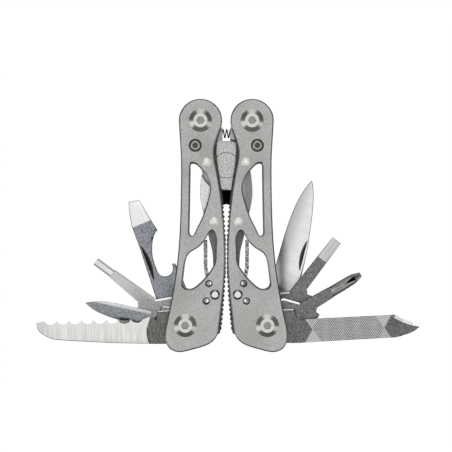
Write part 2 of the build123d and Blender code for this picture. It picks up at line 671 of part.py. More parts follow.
def handle_parts(side, tools):
    """Every node of one handle and its tools, by name."""
    parts = {
        "front_plate": plate(front=True),
        "back_plate": plate(front=False),
        "front_liner": Pos(0, 0, FRONT_LINER_Z) * liner(),
        "back_liner": Pos(0, 0, BACK_LINER_Z) * liner(),
        "plate_rivets": plate_rivets(),
        "spring_pin": spring_pin(),
        "tool_spring": tool_spring(tools),
        "spacer_post": spacer_post(),
        "spacer_screws": small_screws(),
        "jaw_axle": axle(JAW_BOLT),
        "jaw_axle_bolts": bolt_pair(JAW_BOLT),
        "tool_axle": axle(TOOL_BOLT),
        "tool_axle_bolts": bolt_pair(TOOL_BOLT),
        "tool_washers": tool_washers(tools),
    }
    named = {f"{side}_{name}": part for name, part in parts.items()}
    for (name, angle, thickness), (z, _) in zip(tools, layers(tools)):
        named[name] = tool(name, angle, z, thickness)
    return named


def assembly():
    """Every node of the tool, by name, in the finished frame."""
    parts = handle_parts("right", RIGHT_TOOLS)
    for name, part in handle_parts("left", LEFT_TOOLS).items():
        parts[name] = mirror(part, Plane.YZ)
    parts["front_jaw"] = front_jaw()
    parts["rear_jaw"] = rear_jaw()
    parts["plier_rivet"] = plier_rivet()
    parts["jaw_spring"] = jaw_spring()
    return {name: Pos(MID_X, MID_Y, 0) * part for name, part in parts.items()}


def report_box(parts):
    """Prints the whole footprint, to check that the origin is its middle."""
    boxes = [part.bounding_box() for part in parts.values()]
    low = [min(getattr(box.min, axis) for box in boxes) for axis in "XYZ"]
    high = [max(getattr(box.max, axis) for box in boxes) for axis in "XYZ"]
    print("box", [round(v, 3) for v in low], [round(v, 3) for v in high])


os.makedirs("parts", exist_ok=True)
PARTS = assembly()
for node, shape in PARTS.items():
    export_step(shape, f"parts/{node}.step")
report_box(PARTS)
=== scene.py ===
"""Looks of the folding plier multi-tool: finishes, worn edges, the file's teeth, light, camera.

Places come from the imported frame, in metres. Inside a finish, lengths are millimetres.
A tool's own frame has its pivot at the origin, +X along the tool and +Y on the side that folds in.
"""

import json
import math

import bmesh
import bpy
from mathutils import Matrix, Vector


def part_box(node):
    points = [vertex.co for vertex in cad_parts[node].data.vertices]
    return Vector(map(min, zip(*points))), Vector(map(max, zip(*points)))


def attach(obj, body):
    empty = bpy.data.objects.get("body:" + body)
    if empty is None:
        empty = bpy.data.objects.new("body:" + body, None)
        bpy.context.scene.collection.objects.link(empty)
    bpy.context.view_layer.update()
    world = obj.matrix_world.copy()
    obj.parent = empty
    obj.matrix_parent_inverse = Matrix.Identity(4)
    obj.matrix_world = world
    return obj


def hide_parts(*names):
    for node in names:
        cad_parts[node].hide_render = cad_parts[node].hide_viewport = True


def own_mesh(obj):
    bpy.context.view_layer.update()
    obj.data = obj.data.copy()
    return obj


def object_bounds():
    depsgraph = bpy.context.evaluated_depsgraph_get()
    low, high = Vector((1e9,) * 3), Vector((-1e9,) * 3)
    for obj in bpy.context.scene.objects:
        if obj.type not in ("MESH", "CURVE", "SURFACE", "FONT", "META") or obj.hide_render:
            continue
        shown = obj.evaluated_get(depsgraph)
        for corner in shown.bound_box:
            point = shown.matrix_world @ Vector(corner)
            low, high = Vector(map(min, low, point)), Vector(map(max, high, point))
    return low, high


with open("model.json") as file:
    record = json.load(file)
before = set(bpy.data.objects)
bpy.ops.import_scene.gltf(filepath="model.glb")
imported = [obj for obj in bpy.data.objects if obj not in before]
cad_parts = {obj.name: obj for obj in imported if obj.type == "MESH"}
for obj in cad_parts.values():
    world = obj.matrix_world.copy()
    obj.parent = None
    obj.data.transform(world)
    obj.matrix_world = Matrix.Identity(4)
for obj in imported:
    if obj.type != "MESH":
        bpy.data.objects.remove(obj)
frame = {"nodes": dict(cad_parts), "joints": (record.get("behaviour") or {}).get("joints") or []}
CAD_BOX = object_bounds()
NODES = frame["nodes"]
JOINTS = {joint["name"]: joint for joint in frame["joints"]}
MM = 0.001
SIDES = {"left": -1, "right": 1}
TOOLS = {"left": ["serrated_blade", "awl", "hex_driver", "can_opener"],
         "right": ["file", "phillips_driver", "flat_driver", "knife"]}
FOLDED_ANGLE = 92.0
FRAME_WIDTH = 180.8 * MM
CAMERA_HEIGHT = 1.0

# The file's double-cut teeth, in its own frame and in millimetres
CUT_START, CUT_END = 13.4, 50.4
CUT_LOW, CUT_HIGH = (-7.79, -7.61), (1.6, 1.5)
CUT_DIRECTION = (0.848, 0.53)
CUT_RANGES = {1: (14.05, 37.9), -1: (16.78, 41.6)}
# How dark the painted shade in each cut's grooves is
CUT_WEIGHTS = {1: 1.0, -1: 0.5}
TOOTH_PITCH = 0.62
TOOTH_DEPTH = 0.14
CUT_STEP = 0.124

# Corners nearer than this many millimetres are one, and so are faces that turn by less than
# FLAT_ANGLE. Edges sharper than SHARP_ANGLE are worn. A face whose normal's Z is past FACE_UP is
# one of a tool's two faces.
MERGE = 0.002
FLAT_ANGLE = math.radians(0.4)
SHARP_ANGLE = math.radians(28.0)
FACE_UP = 0.985

# Width of the worn edges, in millimetres
PLATE_WEAR, LINER_WEAR, SCREW_WEAR, TOOL_WEAR, JAW_WEAR = 0.07, 0.08, 0.08, 0.1, 0.15

# The rim around a tool's faces, painted dark as shade, in millimetres
RIM_WIDTH = 0.22
RIM_DROP = 0.08

# The serrated blade's rim stays below this height, which keeps it off the teeth
BLADE_RIM_TOP = -1.0

# Radius of the well that each small screw sits in
WELL_R = 2.6

# Where each ground tip starts along its tool, and where the hexagonal key does
TIP_START = {"can_opener": 44.5, "phillips_driver": 29.3, "flat_driver": 34.5}
HEX_KEY_START = 36.0

# The round grind line at the serrated blade's root, in the blade's own frame
GRIND_LINE_CENTRE, GRIND_LINE_R = (3.0, -2.5, 0), 12.4

# The knife's flat grind: where it starts and ends across the blade, and half the edge it leaves.
# Then where each nail groove starts and ends along its tool.
KNIFE_GRIND = (-6.4, 4.0, 0.125)
KNIFE_GROOVE = (23.0, 39.5)
OPENER_GROOVE = (20.0, 38.0)


# ---------------------------------------------------------------- places read from the frame

def side_of(tool):
    """-1 for a tool on the left handle, 1 on the right."""
    return SIDES["left"] if tool in TOOLS["left"] else SIDES["right"]


def pivot_of(tool):
    """The place of a tool's hinge, in metres."""
    return Vector(JOINTS[f"{tool}_fold"]["pos_m"])


def rest_angle_of(tool):
    """How far a tool stands above the outward direction at rest, in degrees."""
    return FOLDED_ANGLE - JOINTS[f"{tool}_fold"]["range_deg"][1]


def middle_of(node):
    """The middle of a node's box."""
    low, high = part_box(node)
    return (low + high) / 2


def pivot_in_mm():
    """The jaws' pivot, in millimetres."""
    return Vector(JOINTS["plier_pivot"]["pos_m"]) / MM


def tool_matrix(tool):
    """The transform from a tool's own frame, in millimetres, to the object's frame."""
    side = side_of(tool)
    place = pivot_of(tool)
    place.z = middle_of(tool).z
    turn = Matrix.Rotation(math.radians(rest_angle_of(tool)), 4, "Z")
    mirror = Matrix.Diagonal((side, 1, 1, 1))
    return Matrix.Translation(place) @ mirror @ turn @ Matrix.Scale(MM, 4)


# ---------------------------------------------------------------- finishes

class Finish:
    """A metal's node tree, with short calls for the nodes that the finishes share."""

    def __init__(self, name, colour, roughness, metallic=1.0):
        self.material = bpy.data.materials.new(name)
        self.material.use_nodes = True
        self.tree = self.material.node_tree
        self.shader = self.tree.nodes["Principled BSDF"]
        self.shader.inputs["Base Color"].default_value = (*colour, 1)
        self.shader.inputs["Roughness"].default_value = roughness
        self.shader.inputs["Metallic"].default_value = metallic
        self.normal = None

    def add(self, kind, values, output=0, **settings):
        """A new node with its inputs set or joined by number or name, and one of its outputs."""
        node = self.tree.nodes.new(f"ShaderNode{kind}")
        for key, value in settings.items():
            setattr(node, key, value)
        for key, value in values.items():
            if isinstance(value, bpy.types.NodeSocket):
                self.tree.links.new(value, node.inputs[key])
            else:
                node.inputs[key].default_value = value
        return node.outputs[output]

    def math(self, operation, a, b=0.0, c=0.0):
        return self.add("Math", {0: a, 1: b, 2: c}, operation=operation)

    def place(self):
        """The point in the object's frame, in millimetres."""
        point = self.add("TexCoord", {}, "Object")
        return self.add("VectorMath", {0: point, 3: 1 / MM}, operation="SCALE")

    def tool_place(self, tool):
        """The point in a tool's own frame, in millimetres."""
        side = side_of(tool)
        pivot = pivot_of(tool) / MM
        point = self.add("VectorMath", {0: self.place(), 1: (side, 1, 1)}, operation="MULTIPLY")
        home = (side * pivot.x, pivot.y, middle_of(tool).z / MM)
        turn = (0, 0, math.radians(rest_angle_of(tool)))
        return self.add("Mapping", {"Vector": point, "Location": home, "Rotation": turn},
                        vector_type="TEXTURE")

    def axes(self, point):
        """The X, Y and Z of a point."""
        split = self.tree.nodes.new("ShaderNodeSeparateXYZ")
        self.tree.links.new(point, split.inputs[0])
        return list(split.outputs)

    def noise(self, point, scale, detail=2.0, stretch=(1, 1, 1), distortion=0.0):
        """Noise from 0 to 1, with scale grains in a millimetre."""
        spread = self.add("VectorMath", {0: point, 1: stretch}, operation="MULTIPLY")
        return self.add("TexNoise", {"Vector": spread, "Scale": scale, "Detail": detail,
                                     "Distortion": distortion})

    def fade(self, value, start, end):
        """0 where value is before start, 1 past end, and smooth between."""
        return self.add("MapRange", {0: value, 1: start, 2: end}, interpolation_type="SMOOTHSTEP")

    def between(self, value, low, high, soft):
        """1 from low to high, with soft ends."""
        rise = self.fade(value, low - soft, low + soft)
        fall = self.fade(value, high + soft, high - soft)
        return self.math("MULTIPLY", rise, fall)

    def mix(self, share, a, b):
        """Number or colour a where share is 0, and b where it is 1."""
        colour = isinstance(a, tuple) or (hasattr(a, "type") and a.type == "RGBA")
        if colour:
            a, b = [(*c, 1) if isinstance(c, tuple) and len(c) == 3 else c for c in (a, b)]
            return self.add("Mix", {0: share, 6: a, 7: b}, 2, data_type="RGBA")
        return self.add("Mix", {0: share, 2: a, 3: b}, 0, data_type="FLOAT")

    def bump(self, height, depth, strength=1.0):
        """Adds relief of a depth in millimetres."""
        values = {"Height": height, "Distance": depth * MM, "Strength": strength}
        if self.normal is not None:
            values["Normal"] = self.normal
        self.normal = self.add("Bump", values)

    def done(self, colour=None, roughness=None, metallic=None):
        """Joins what varies to the shader and gives the material."""
        for name, socket in (("Base Color", colour), ("Roughness", roughness),
                             ("Metallic", metallic), ("Normal", self.normal)):
            if socket is not None:
                self.tree.links.new(socket, self.shader.inputs[name])
        return self.material


def facing_up(finish):
    """1 on faces that look straight up or down, 0 on rims and walls."""
    normal = finish.add("NewGeometry", {}, "True Normal")
    up = finish.math("ABSOLUTE", finish.axes(normal)[2])
    return finish.fade(up, 0.86, 0.97)


def radius_about(finish, point, centre):
    """Distance from an upright line through a centre, both in millimetres."""
    away = finish.add("VectorMath", {0: point, 1: tuple(centre)}, operation="SUBTRACT")
    flat = finish.add("VectorMath", {0: away, 1: (1, 1, 0)}, operation="MULTIPLY")
    return finish.add("VectorMath", {0: flat}, "Value", operation="LENGTH")


def blasted_aluminium():
    """Fine bead-blasted aluminium, with darker milled rims and painted shade in the gap round each
    spacer screw.
    """
    finish = Finish("plate_aluminium", (0.5, 0.5, 0.49), 0.4)
    point = finish.place()
    grain = finish.noise(point, 1.9, 3.0)
    cloud = finish.noise(point, 0.06, 1.0)
    flat = facing_up(finish)
    speckle = finish.mix(finish.fade(grain, 0.34, 0.66), (0.43, 0.43, 0.425), (0.585, 0.585, 0.575))
    face = finish.mix(finish.math("MULTIPLY", finish.fade(cloud, 0.4, 0.75), 0.5), speckle,
                      (0.36, 0.36, 0.35))
    worn = finish.mix(flat, (0.46, 0.455, 0.45), face)
    # Painted shade: the gap of each well round a spacer screw is painted near-black.
    well_shade = None
    for side in SIDES:
        centre = middle_of(f"{side}_spacer_screws") / MM
        near = finish.fade(radius_about(finish, point, centre), WELL_R + 0.08, WELL_R - 0.02)
        well_shade = near if well_shade is None else finish.math("MAXIMUM", well_shade, near)
    colour = finish.mix(finish.math("MULTIPLY", well_shade, 0.75), worn, (0.06, 0.06, 0.06))
    finish.bump(grain, 0.014)
    finish.bump(finish.noise(point, 0.7, 2.0), 0.012)
    return finish.done(colour, finish.mix(flat, 0.26, finish.mix(grain, 0.36, 0.46)))


def stamped_steel():
    """Dark oiled liner steel, with paler rubbed spots."""
    finish = Finish("liner_steel", (0.1, 0.1, 0.1), 0.35)
    point = finish.place()
    rolled = finish.noise(point, 1.4, 4.0, (2.5, 0.5, 1))
    rubbed = finish.fade(finish.noise(point, 0.6, 3.0), 0.52, 0.7)
    oiled = finish.mix(finish.fade(rolled, 0.3, 0.75), (0.03, 0.029, 0.028), (0.1, 0.098, 0.095))
    colour = finish.mix(finish.math("MULTIPLY", rubbed, 0.5), oiled, (0.2, 0.196, 0.19))
    finish.bump(rolled, 0.02)
    return finish.done(colour, finish.mix(rolled, 0.26, 0.44))


def turned_screw(name, centre, socket_radius, face, shaded_cone, socket):
    """A screw turned bright with fine rings, its cone painted darker as shade and its socket below
    the face painted darker as shade.
    """
    finish = Finish(name, face, 0.2)
    point = finish.place()
    radius = radius_about(finish, point, centre)
    rings = finish.math("SINE", finish.math("MULTIPLY", radius, 34.0))
    stain = finish.noise(point, 0.9, 3.0)
    flat = facing_up(finish)
    low, high = (value / MM for value in (CAD_BOX[0].z, CAD_BOX[1].z))
    middle, half = (low + high) / 2, (high - low) / 2
    depth = finish.math("ABSOLUTE", finish.math("SUBTRACT", finish.axes(point)[2], middle))
    # Painted shade: the socket below the face takes the socket's darker colour.
    sunk_shade = finish.math("MULTIPLY", finish.fade(depth, half - 0.25, half - 0.6),
                       finish.fade(radius, socket_radius + 0.25, socket_radius))
    # Painted shade: the cone is painted darker than the flat face.
    metal = finish.mix(flat, shaded_cone, face)
    stained = finish.mix(finish.math("MULTIPLY", stain, 0.35), metal, tuple(0.5 * c for c in face))
    finish.bump(rings, 0.003)
    return finish.done(finish.mix(sunk_shade, stained, socket), finish.mix(stain, 0.16, 0.28))


def pressed_rivet(name):
    """The pearly, lightly hammered dome of a rivet."""
    finish = Finish(name, (0.9, 0.9, 0.89), 0.3)
    point = finish.place()
    dents = finish.noise(point, 0.8, 2.0)
    colour = finish.mix(finish.fade(dents, 0.3, 0.7), (0.86, 0.85, 0.83), (1.0, 1.0, 0.99))
    finish.bump(dents, 0.03)
    return finish.done(colour, finish.mix(dents, 0.6, 0.7))


def plain_steel(name, dark, light, roughness, scale=1.2):
    """Drawn or plated steel with slight unevenness."""
    finish = Finish(name, light, roughness)
    point = finish.place()
    uneven = finish.noise(point, scale, 4.0)
    finish.bump(uneven, 0.012)
    return finish.done(finish.mix(finish.fade(uneven, 0.3, 0.7), dark, light),
                       finish.mix(uneven, roughness, roughness + 0.15))


def bevel_highlight_share(finish):
    """1 on the sloping bevels that face up the tool, which take a painted highlight."""
    normal = finish.add("NewGeometry", {}, "True Normal")
    _, upward, facing = finish.axes(normal)
    slope = finish.between(finish.math("ABSOLUTE", facing), 0.62, 0.965, 0.02)
    return finish.math("MULTIPLY", slope, finish.fade(upward, 0.2, 0.35))


def stonewash(finish, point, dark, light, bevel_highlight=0.9):
    """Tumbled tool steel: colour and roughness with small bright nicks on a mottled ground, and a
    painted highlight on the bevels that face up the tool.
    """
    mottle = finish.noise(point, 1.5, 4.0, (1, 0.7, 1))
    nicks = finish.noise(point, 3.4, 3.0, (1, 0.6, 1))
    ground = finish.mix(finish.fade(mottle, 0.32, 0.68), dark, light)
    bright = tuple(min(1.0, 2.6 * c) for c in light)
    nicked = finish.math("MULTIPLY", finish.fade(nicks, 0.54, 0.72), 0.6)
    tumbled = finish.mix(nicked, ground, bright)
    # Painted highlight: the bevels that face up the tool are painted near-white.
    colour = finish.mix(finish.math("MULTIPLY", bevel_highlight_share(finish), bevel_highlight), tumbled,
                        (0.8, 0.8, 0.8))
    finish.bump(nicks, 0.012)
    finish.bump(mottle, 0.014)
    return colour, finish.mix(nicks, 0.26, 0.44)


def grind_lines(finish, point, dark, light, grain=(1, 0.03, 0.1)):
    """A satin ground face: fine lines across the tool's length, or along it if grain says so."""
    fine = finish.noise(point, 2.6, 4.0, grain)
    broad = finish.noise(point, 0.9, 2.0, tuple(min(1, 3 * g) for g in grain))
    both = finish.math("MULTIPLY_ADD", fine, 0.7, finish.math("MULTIPLY", broad, 0.3))
    finish.bump(fine, 0.004)
    return finish.mix(finish.fade(both, 0.3, 0.7), dark, light), finish.mix(fine, 0.24, 0.38)


def groove_shade(finish, point, face, start, end):
    """1 inside a nail groove between two places along the tool, below a face's height."""
    along, _, height = finish.axes(point)
    below = finish.math("SUBTRACT", face, finish.math("ABSOLUTE", height))
    normal = finish.add("NewGeometry", {}, "True Normal")
    open_side = finish.fade(finish.math("ABSOLUTE", finish.axes(normal)[2]), 0.15, 0.35)
    sunk_shade = finish.math("MULTIPLY", finish.fade(below, 0.01, 0.04), open_side)
    return finish.math("MULTIPLY", sunk_shade, finish.between(along, start, end, 0.3))


def serrated_finish():
    """Bright satin blade, with the dark tumbled root behind a concave grind line, and painted shade
    towards its spine and tip.
    """
    finish = Finish("serrated_steel", (0.9, 0.9, 0.89), 0.3)
    point = finish.tool_place("serrated_blade")
    satin, satin_rough = grind_lines(finish, point, (0.68, 0.68, 0.67), (0.98, 0.98, 0.965))
    along, across, _ = finish.axes(point)
    spine = finish.fade(across, -4.6, -7.6)
    tip = finish.fade(along, 50.0, 60.0)
    # Painted shade: the satin darkens towards the spine and towards the tip.
    shaded = finish.mix(finish.math("MULTIPLY", finish.math("MAXIMUM", spine, tip), 0.4), satin,
                        (0.5, 0.5, 0.49))
    root, root_rough = stonewash(finish, point, (0.1, 0.098, 0.092), (0.2, 0.197, 0.19))
    ground = finish.fade(radius_about(finish, point, GRIND_LINE_CENTRE), GRIND_LINE_R - 0.1,
                         GRIND_LINE_R + 0.1)
    return finish.done(finish.mix(ground, root, shaded),
                       finish.mix(ground, root_rough, satin_rough))


def knife_finish():
    """A satin blade, brighter towards its spine and grey at its root, both as painted shade, with
    painted shade in its nail groove.
    """
    finish = Finish("knife_steel", (0.85, 0.85, 0.85), 0.28)
    point = finish.tool_place("knife")
    satin, rough = grind_lines(finish, point, (0.8, 0.8, 0.8), (0.98, 0.98, 0.975))
    along, across, _ = finish.axes(point)
    edge = finish.fade(across, -3.0, 3.2)
    root = finish.fade(along, 26.0, 13.0)
    # Painted shade: darker towards the edge and towards the root.
    shade = finish.math("MAXIMUM", finish.math("MULTIPLY", edge, 0.55),
                        finish.math("MULTIPLY", root, 0.5))
    start, end, ground_edge = KNIFE_GRIND
    half = (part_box("knife")[1].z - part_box("knife")[0].z) / 2 / MM
    slope = (half - ground_edge) / (end - start)
    face = finish.math("MULTIPLY_ADD", finish.math("SUBTRACT", across, start), -slope, half)
    groove = groove_shade(finish, point, face, *KNIFE_GROOVE)
    shaded = finish.mix(shade, satin, (0.34, 0.34, 0.34))
    # Painted shade: the nail groove is painted near-black.
    return finish.done(finish.mix(groove, shaded, (0.06, 0.06, 0.06)), rough)


def tool_finish(tool, dark, light, tip=None, grain=(0.03, 1, 0.1), groove=None, bevel_highlight=0.9):
    """Tumbled tool steel, with a ground tip past a line across the tool, and painted shade in a
    nail groove.
    """
    finish = Finish(f"{tool}_steel", light, 0.35)
    point = finish.tool_place(tool)
    body, body_rough = stonewash(finish, point, dark, light, bevel_highlight)
    if tip is None:
        return finish.done(body, body_rough)
    ground, ground_rough = grind_lines(finish, point, tip[0], tip[1], grain)
    along, _, _ = finish.axes(point)
    share = finish.fade(along, TIP_START[tool] - 0.15, TIP_START[tool] + 0.15)
    if groove is not None:
        half = (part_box(tool)[1].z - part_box(tool)[0].z) / 2 / MM
        # Painted shade: the nail groove is painted near-black.
        body = finish.mix(groove_shade(finish, point, half, *groove), body, (0.03, 0.03, 0.03))
    return finish.done(finish.mix(share, body, ground), finish.mix(share, body_rough, ground_rough))


def hex_finish():
    """A tumbled root that pales along the shank to a bright hexagonal key."""
    finish = Finish("hex_driver_steel", (0.6, 0.6, 0.6), 0.3)
    point = finish.tool_place("hex_driver")
    body, body_rough = stonewash(finish, point, (0.27, 0.27, 0.275), (0.42, 0.42, 0.42))
    key, key_rough = grind_lines(finish, point, (0.76, 0.76, 0.76), (0.96, 0.96, 0.95),
                                 (0.03, 1, 0.1))
    along, _, _ = finish.axes(point)
    paler = finish.mix(finish.math("MULTIPLY", finish.fade(along, 16.0, 32.0), 0.7), body,
                       (0.74, 0.74, 0.74))
    share = finish.fade(along, HEX_KEY_START - 0.1, HEX_KEY_START + 0.1)
    return finish.done(finish.mix(share, paler, key), finish.mix(share, body_rough, key_rough),
                       finish.mix(share, 1.0, 0.35))


def file_finish():
    """Dark tumbled steel at both ends, and silver teeth with painted shade darkening the grooves
    between.
    """
    finish = Finish("file_steel", (0.3, 0.3, 0.3), 0.32)
    point = finish.tool_place("file")
    body, body_rough = stonewash(finish, point, (0.1, 0.1, 0.1), (0.2, 0.2, 0.2))
    along, across, _ = finish.axes(point)
    groove = None
    cut = None
    for way, (start, end) in CUT_RANGES.items():
        line = finish.math("MULTIPLY_ADD", across, way * CUT_DIRECTION[1],
                           finish.math("MULTIPLY", along, CUT_DIRECTION[0]))
        here = finish.between(line, start, end, 0.15)
        wave = finish.math("PINGPONG", line, TOOTH_PITCH / 2)
        edge = finish.fade(wave, TOOTH_PITCH * 0.24, TOOTH_PITCH * 0.44)
        valley_shade = finish.math("MULTIPLY", finish.math("MULTIPLY", here, edge), CUT_WEIGHTS[way])
        groove = valley_shade if groove is None else finish.math("MAXIMUM", groove, valley_shade)
        cut = here if cut is None else finish.math("MAXIMUM", cut, here)
    # Painted shade: the grooves between the teeth are painted near-black.
    silver = finish.mix(groove, (0.74, 0.74, 0.74), (0.03, 0.03, 0.03))
    return finish.done(finish.mix(cut, body, silver), finish.mix(cut, body_rough, 0.28))


def cast_jaw(name, dark, light, grain, relief=0.05):
    """Coarse cast steel, with edges and noses painted dark as shade, and a near-black painted
    shadow in the wire cutters' throat.

    The tangs are darker, and the flank on the right darker still.
    """
    finish = Finish(name, light, 0.4)
    point = finish.place()
    pits = finish.noise(point, grain, 4.0)
    mottle = finish.noise(point, 0.4, 3.0)
    body = finish.mix(finish.fade(pits, 0.32, 0.68), dark, light)
    body = finish.mix(finish.math("MULTIPLY", mottle, 0.25), body, tuple(0.6 * c for c in light))
    pivot = pivot_in_mm()
    across, along, _ = finish.axes(point)
    # Painted shadow: the wire cutters' throat below the pivot is near-black.
    band = finish.between(along, pivot.y - 17.0, pivot.y - 9.9, 0.2)
    beside = finish.math("ABSOLUTE", finish.math("SUBTRACT", across, pivot.x))
    throat_shadow = finish.math("MULTIPLY", band, finish.fade(beside, 3.9, 3.5))
    # Painted shade: the noses darken away from the pivot.
    nose_shade = finish.math("MULTIPLY", finish.fade(along, pivot.y - 16.5, pivot.y - 20.0), 0.85)
    # The tangs are darker, and the flank on the right darker still.
    tang = finish.fade(along, pivot.y + 8.5, pivot.y + 10.5)
    flank = finish.fade(across, pivot.x + 6.0, pivot.x + 8.0)
    darker_share = finish.math("MULTIPLY", finish.math("MAXIMUM", tang, flank), 0.7)
    darkened = finish.mix(darker_share, body, finish.mix(flank, (0.32, 0.32, 0.32), (0.16, 0.16, 0.16)))
    # Painted shade: edges and walls that don't face up are painted dark.
    edges_shaded = finish.mix(facing_up(finish), (0.1, 0.1, 0.1), darkened)
    nose_shaded = finish.mix(nose_shade, edges_shaded, (0.07, 0.07, 0.07))
    finish.bump(pits, relief)
    return finish.done(finish.mix(throat_shadow, nose_shaded, (0.006, 0.006, 0.006)),
                       finish.mix(throat_shadow, finish.mix(pits, 0.3, 0.48), 0.6))


def ribbed_spring():
    """Spring strip, spotted bright and dark on its faces, with the walls of its ribs painted dark
    as shade.
    """
    finish = Finish("spring_steel", (0.5, 0.5, 0.5), 0.25)
    point = finish.place()
    flat = facing_up(finish)
    wear = finish.noise(point, 1.6, 3.0)
    spots = finish.noise(point, 1.7, 2.0)
    face = finish.mix(finish.fade(spots, 0.42, 0.62), (0.08, 0.08, 0.08), (0.6, 0.6, 0.6))
    # Painted shade: walls that don't face up are painted dark.
    return finish.done(finish.mix(flat, (0.08, 0.08, 0.08), face), finish.mix(wear, 0.2, 0.35))


# ---------------------------------------------------------------- edges

def drop_custom_normals(mesh):
    """Lets a mesh shade by its own faces instead of the normals that came with it."""
    custom = mesh.attributes.get("custom_normal")
    if custom is not None:
        mesh.attributes.remove(custom)


def soften(node, width):
    """Rounds a CAD node's sharp edges by a width in millimetres, with modifiers only."""
    piece = NODES[node]
    drop_custom_normals(piece.data)
    piece.data.shade_smooth()
    weld = piece.modifiers.new("weld", "WELD")
    weld.merge_threshold = MERGE * MM
    flat = piece.modifiers.new("flat", "DECIMATE")
    flat.decimate_type = "DISSOLVE"
    flat.angle_limit = FLAT_ANGLE
    edge = piece.modifiers.new("edge", "BEVEL")
    edge.width = width * MM
    edge.segments = 2
    edge.limit_method = "ANGLE"
    edge.angle_limit = SHARP_ANGLE
    edge.use_clamp_overlap = False
    edge.harden_normals = True
    edge.miter_outer = "MITER_ARC"


def finish_node(node, material):
    """Gives every face of a CAD node one finish."""
    piece = NODES[node]
    piece.data.materials.clear()
    piece.data.materials.append(material)


def joined_shape(node):
    """A CAD node's mesh as a bmesh, with its split corners joined."""
    shape = bmesh.new()
    shape.from_mesh(NODES[node].data)
    bmesh.ops.remove_doubles(shape, verts=shape.verts, dist=MERGE * MM)
    return shape


def new_piece(name, shape, material, body):
    """A new object made from a bmesh, riding on a body."""
    mesh = bpy.data.meshes.new(name)
    shape.to_mesh(mesh)
    shape.free()
    mesh.materials.append(material)
    piece = bpy.data.objects.new(name, mesh)
    bpy.context.scene.collection.objects.link(piece)
    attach(piece, body)
    return piece


def edge_rim(shape, place, rim_top):
    """Draws a tool's two faces in a little and lowers the rim left around them.

    The rim takes the second material, a painted shade, wherever y is below rim_top, in the tool's
    own frame.
    """
    to_tool = place.inverted()
    bmesh.ops.dissolve_limit(shape, angle_limit=FLAT_ANGLE, verts=shape.verts, edges=shape.edges)
    shape.normal_update()
    for side in (1, -1):
        faces = [face for face in shape.faces if side * face.normal.z > FACE_UP]
        ring = bmesh.ops.inset_region(shape, faces=faces, thickness=RIM_WIDTH * MM,
                                      use_boundary=True, use_even_offset=False)["faces"]
        inner = {vert for face in faces for vert in face.verts}
        outer = {vert for face in ring for vert in face.verts} - inner
        for vert in outer:
            if (to_tool @ vert.co).y < rim_top:
                vert.co.z -= side * RIM_DROP * MM
        for face in ring:
            if (to_tool @ face.calc_center_median()).y < rim_top:
                face.material_index = 1


def edged_tool(tool, material, rim_shade_material, rim_top=math.inf):
    """A tool with rims around its faces painted dark as shade, in place of the plain CAD node."""
    shape = joined_shape(tool)
    edge_rim(shape, tool_matrix(tool), rim_top)
    piece = new_piece(f"{tool}_steel", shape, material, tool)
    drop_custom_normals(piece.data)
    piece.data.set_sharp_from_angle(angle=SHARP_ANGLE)
    piece.data.materials.append(rim_shade_material)
    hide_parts(tool)


# ---------------------------------------------------------------- the file's teeth

def tooth_height(x, y):
    """How far the file's face lies below its blank at a point, in millimetres."""
    deepest = 0.0
    for way, (start, end) in CUT_RANGES.items():
        line = CUT_DIRECTION[0] * x + way * CUT_DIRECTION[1] * y
        if start < line < end:
            phase = (line / TOOTH_PITCH) % 1.0
            deepest = max(deepest, 1.0 - abs(2.0 * phase - 1.0) * 1.6)
    return -TOOTH_DEPTH * max(0.0, deepest)


def toothed_middle(half):
    """The cut part of the file as a closed grid, with its teeth on both faces."""
    shape = bmesh.new()
    columns = round((CUT_END - CUT_START) / CUT_STEP)
    rows = round((CUT_HIGH[0] - CUT_LOW[0]) / CUT_STEP)
    faces = {}
    for side in (1, -1):
        grid = []
        for column in range(columns + 1):
            share = column / columns
            x = CUT_START + share * (CUT_END - CUT_START)
            low = CUT_LOW[0] + share * (CUT_LOW[1] - CUT_LOW[0])
            high = CUT_HIGH[0] + share * (CUT_HIGH[1] - CUT_HIGH[0])
            line = []
            for row in range(rows + 1):
                y = low + row / rows * (high - low)
                inside = 0 < column < columns
                z = half + (tooth_height(x, y) if inside else 0.0)
                line.append(shape.verts.new((x, y, side * z)))
            grid.append(line)
        faces[side] = grid
        for left, right in zip(grid, grid[1:]):
            for row in range(rows):
                corners = [left[row], right[row], right[row + 1], left[row + 1]]
                shape.faces.new(corners if side == 1 else corners[::-1])
    top, bottom = faces[1], faces[-1]
    for index in range(columns):
        after = index + 1
        shape.faces.new([top[index][0], bottom[index][0], bottom[after][0], top[after][0]])
        shape.faces.new([top[index][-1], top[after][-1], bottom[after][-1], bottom[index][-1]])
    for row in range(rows):
        shape.faces.new([top[0][row], top[0][row + 1], bottom[0][row + 1], bottom[0][row]])
        shape.faces.new([top[-1][row], bottom[-1][row], bottom[-1][row + 1], top[-1][row + 1]])
    return shape


def cut_off(shape, x, keep_below):
    """Keeps one side of a solid, below or above x along the tool, and closes the cut."""
    whole = shape.verts[:] + shape.edges[:] + shape.faces[:]
    cut = bmesh.ops.bisect_plane(shape, geom=whole, plane_co=(x, 0, 0), plane_no=(1, 0, 0),
                                 clear_outer=keep_below, clear_inner=not keep_below)
    rim = [part for part in cut["geom_cut"] if isinstance(part, bmesh.types.BMEdge)]
    bmesh.ops.edgeloop_fill(shape, edges=rim)


